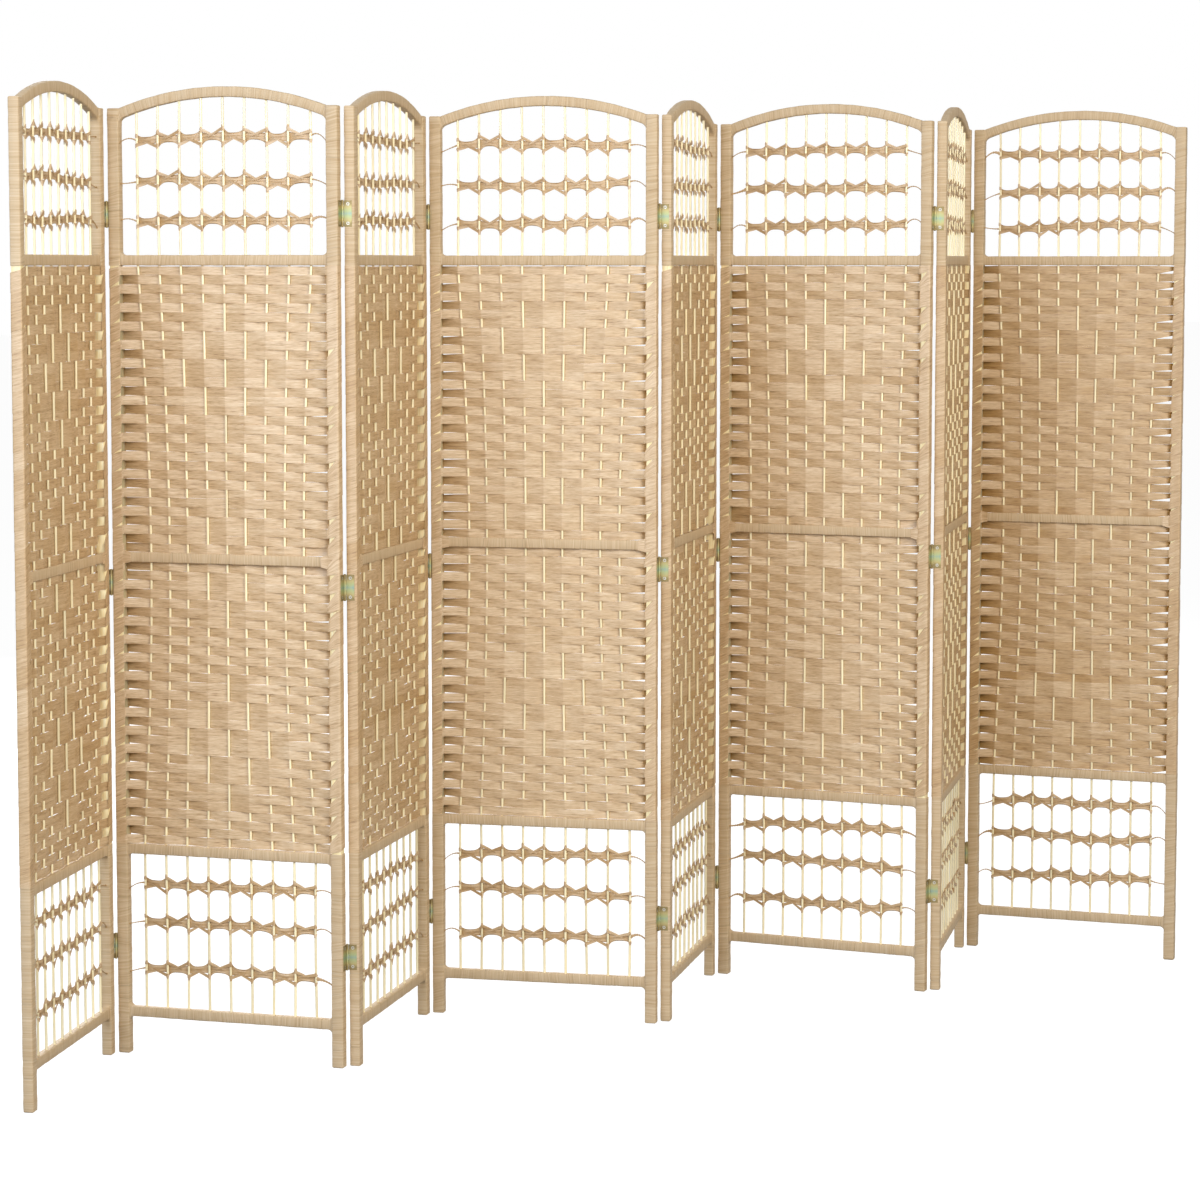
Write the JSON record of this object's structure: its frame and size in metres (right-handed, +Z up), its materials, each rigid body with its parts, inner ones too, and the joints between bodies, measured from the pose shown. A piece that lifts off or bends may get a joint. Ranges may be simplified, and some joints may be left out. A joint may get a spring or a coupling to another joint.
{
  "type": "woven folding screen",
  "caption": "Free-standing folding room divider: hinged wooden panels with arched tops, bamboo rods and a woven paper-fibre infill, set up as a zigzag.",
  "frame": {"origin": "middle of the floor area that the zigzag covers, on the floor", "axes": "+X along the row of panels to the right, +Y to the back, +Z up"},
  "size_m": [2.5552, 0.3836, 1.7848],
  "materials": {
    "wound_wood": "wound with fine paper cord, matt",
    "bamboo": "smooth pale bamboo",
    "fibre_strip": "flat paper-fibre strip with lengthwise grain, matt",
    "hinge_plate": "yellow zinc plate"
  },
  "bodies": {
    "panel_1": {"panel_1_left_post": "wound_wood", "panel_1_right_post": "wound_wood", "panel_1_rails": "wound_wood", "panel_1_rods": "bamboo", "panel_1_weave": "fibre_strip", "panel_1_hinge_leaves": "hinge_plate", "panel_1_hinge_fasteners": "hinge_plate"},
    "panel_2": {"panel_2_left_post": "wound_wood", "panel_2_right_post": "wound_wood", "panel_2_rails": "wound_wood", "panel_2_rods": "bamboo", "panel_2_weave": "fibre_strip", "panel_2_hinge_leaves": "hinge_plate", "panel_2_hinge_fasteners": "hinge_plate"},
    "panel_3": {"panel_3_left_post": "wound_wood", "panel_3_right_post": "wound_wood", "panel_3_rails": "wound_wood", "panel_3_rods": "bamboo", "panel_3_weave": "fibre_strip", "panel_3_hinge_leaves": "hinge_plate", "panel_3_hinge_fasteners": "hinge_plate"},
    "panel_4": {"panel_4_left_post": "wound_wood", "panel_4_right_post": "wound_wood", "panel_4_rails": "wound_wood", "panel_4_rods": "bamboo", "panel_4_weave": "fibre_strip", "panel_4_hinge_leaves": "hinge_plate", "panel_4_hinge_fasteners": "hinge_plate"},
    "panel_5": {"panel_5_left_post": "wound_wood", "panel_5_right_post": "wound_wood", "panel_5_rails": "wound_wood", "panel_5_rods": "bamboo", "panel_5_weave": "fibre_strip", "panel_5_hinge_leaves": "hinge_plate", "panel_5_hinge_fasteners": "hinge_plate"},
    "panel_6": {"panel_6_left_post": "wound_wood", "panel_6_right_post": "wound_wood", "panel_6_rails": "wound_wood", "panel_6_rods": "bamboo", "panel_6_weave": "fibre_strip", "panel_6_hinge_leaves": "hinge_plate", "panel_6_hinge_fasteners": "hinge_plate"},
    "panel_7": {"panel_7_left_post": "wound_wood", "panel_7_right_post": "wound_wood", "panel_7_rails": "wound_wood", "panel_7_rods": "bamboo", "panel_7_weave": "fibre_strip", "panel_7_hinge_leaves": "hinge_plate", "panel_7_hinge_fasteners": "hinge_plate"},
    "panel_8": {"panel_8_left_post": "wound_wood", "panel_8_right_post": "wound_wood", "panel_8_rails": "wound_wood", "panel_8_rods": "bamboo", "panel_8_weave": "fibre_strip", "panel_8_hinge_leaves": "hinge_plate", "panel_8_hinge_fasteners": "hinge_plate"}
  },
  "joints": [
    {"name": "fold_1", "type": "hinge", "parent": "panel_1", "child": "panel_2", "pos_m": [-0.97515, 0.1492, 0], "axis": [0, 0, -1], "range_deg": [-96.4, 83.6]},
    {"name": "fold_2", "type": "hinge", "parent": "panel_2", "child": "panel_3", "pos_m": [-0.64563, -0.15686, 0], "axis": [0, 0, 1], "range_deg": [-92.6, 87.4]},
    {"name": "fold_3", "type": "hinge", "parent": "panel_3", "child": "panel_4", "pos_m": [-0.31772, 0.15092, 0], "axis": [0, 0, -1], "range_deg": [-88.7, 91.3]},
    {"name": "fold_4", "type": "hinge", "parent": "panel_4", "child": "panel_5", "pos_m": [0.03185, -0.13202, 0], "axis": [0, 0, 1], "range_deg": [-89.2, 90.8]},
    {"name": "fold_5", "type": "hinge", "parent": "panel_5", "child": "panel_6", "pos_m": [0.35706, 0.17861, 0], "axis": [0, 0, -1], "range_deg": [-99.7, 80.3]},
    {"name": "fold_6", "type": "hinge", "parent": "panel_6", "child": "panel_7", "pos_m": [0.64921, -0.1633, 0], "axis": [0, 0, 1], "range_deg": [-100.3, 79.7]},
    {"name": "fold_7", "type": "hinge", "parent": "panel_7", "child": "panel_8", "pos_m": [0.97115, 0.15073, 0], "axis": [0, 0, -1], "range_deg": [-97.1, 82.9]}
  ]
}
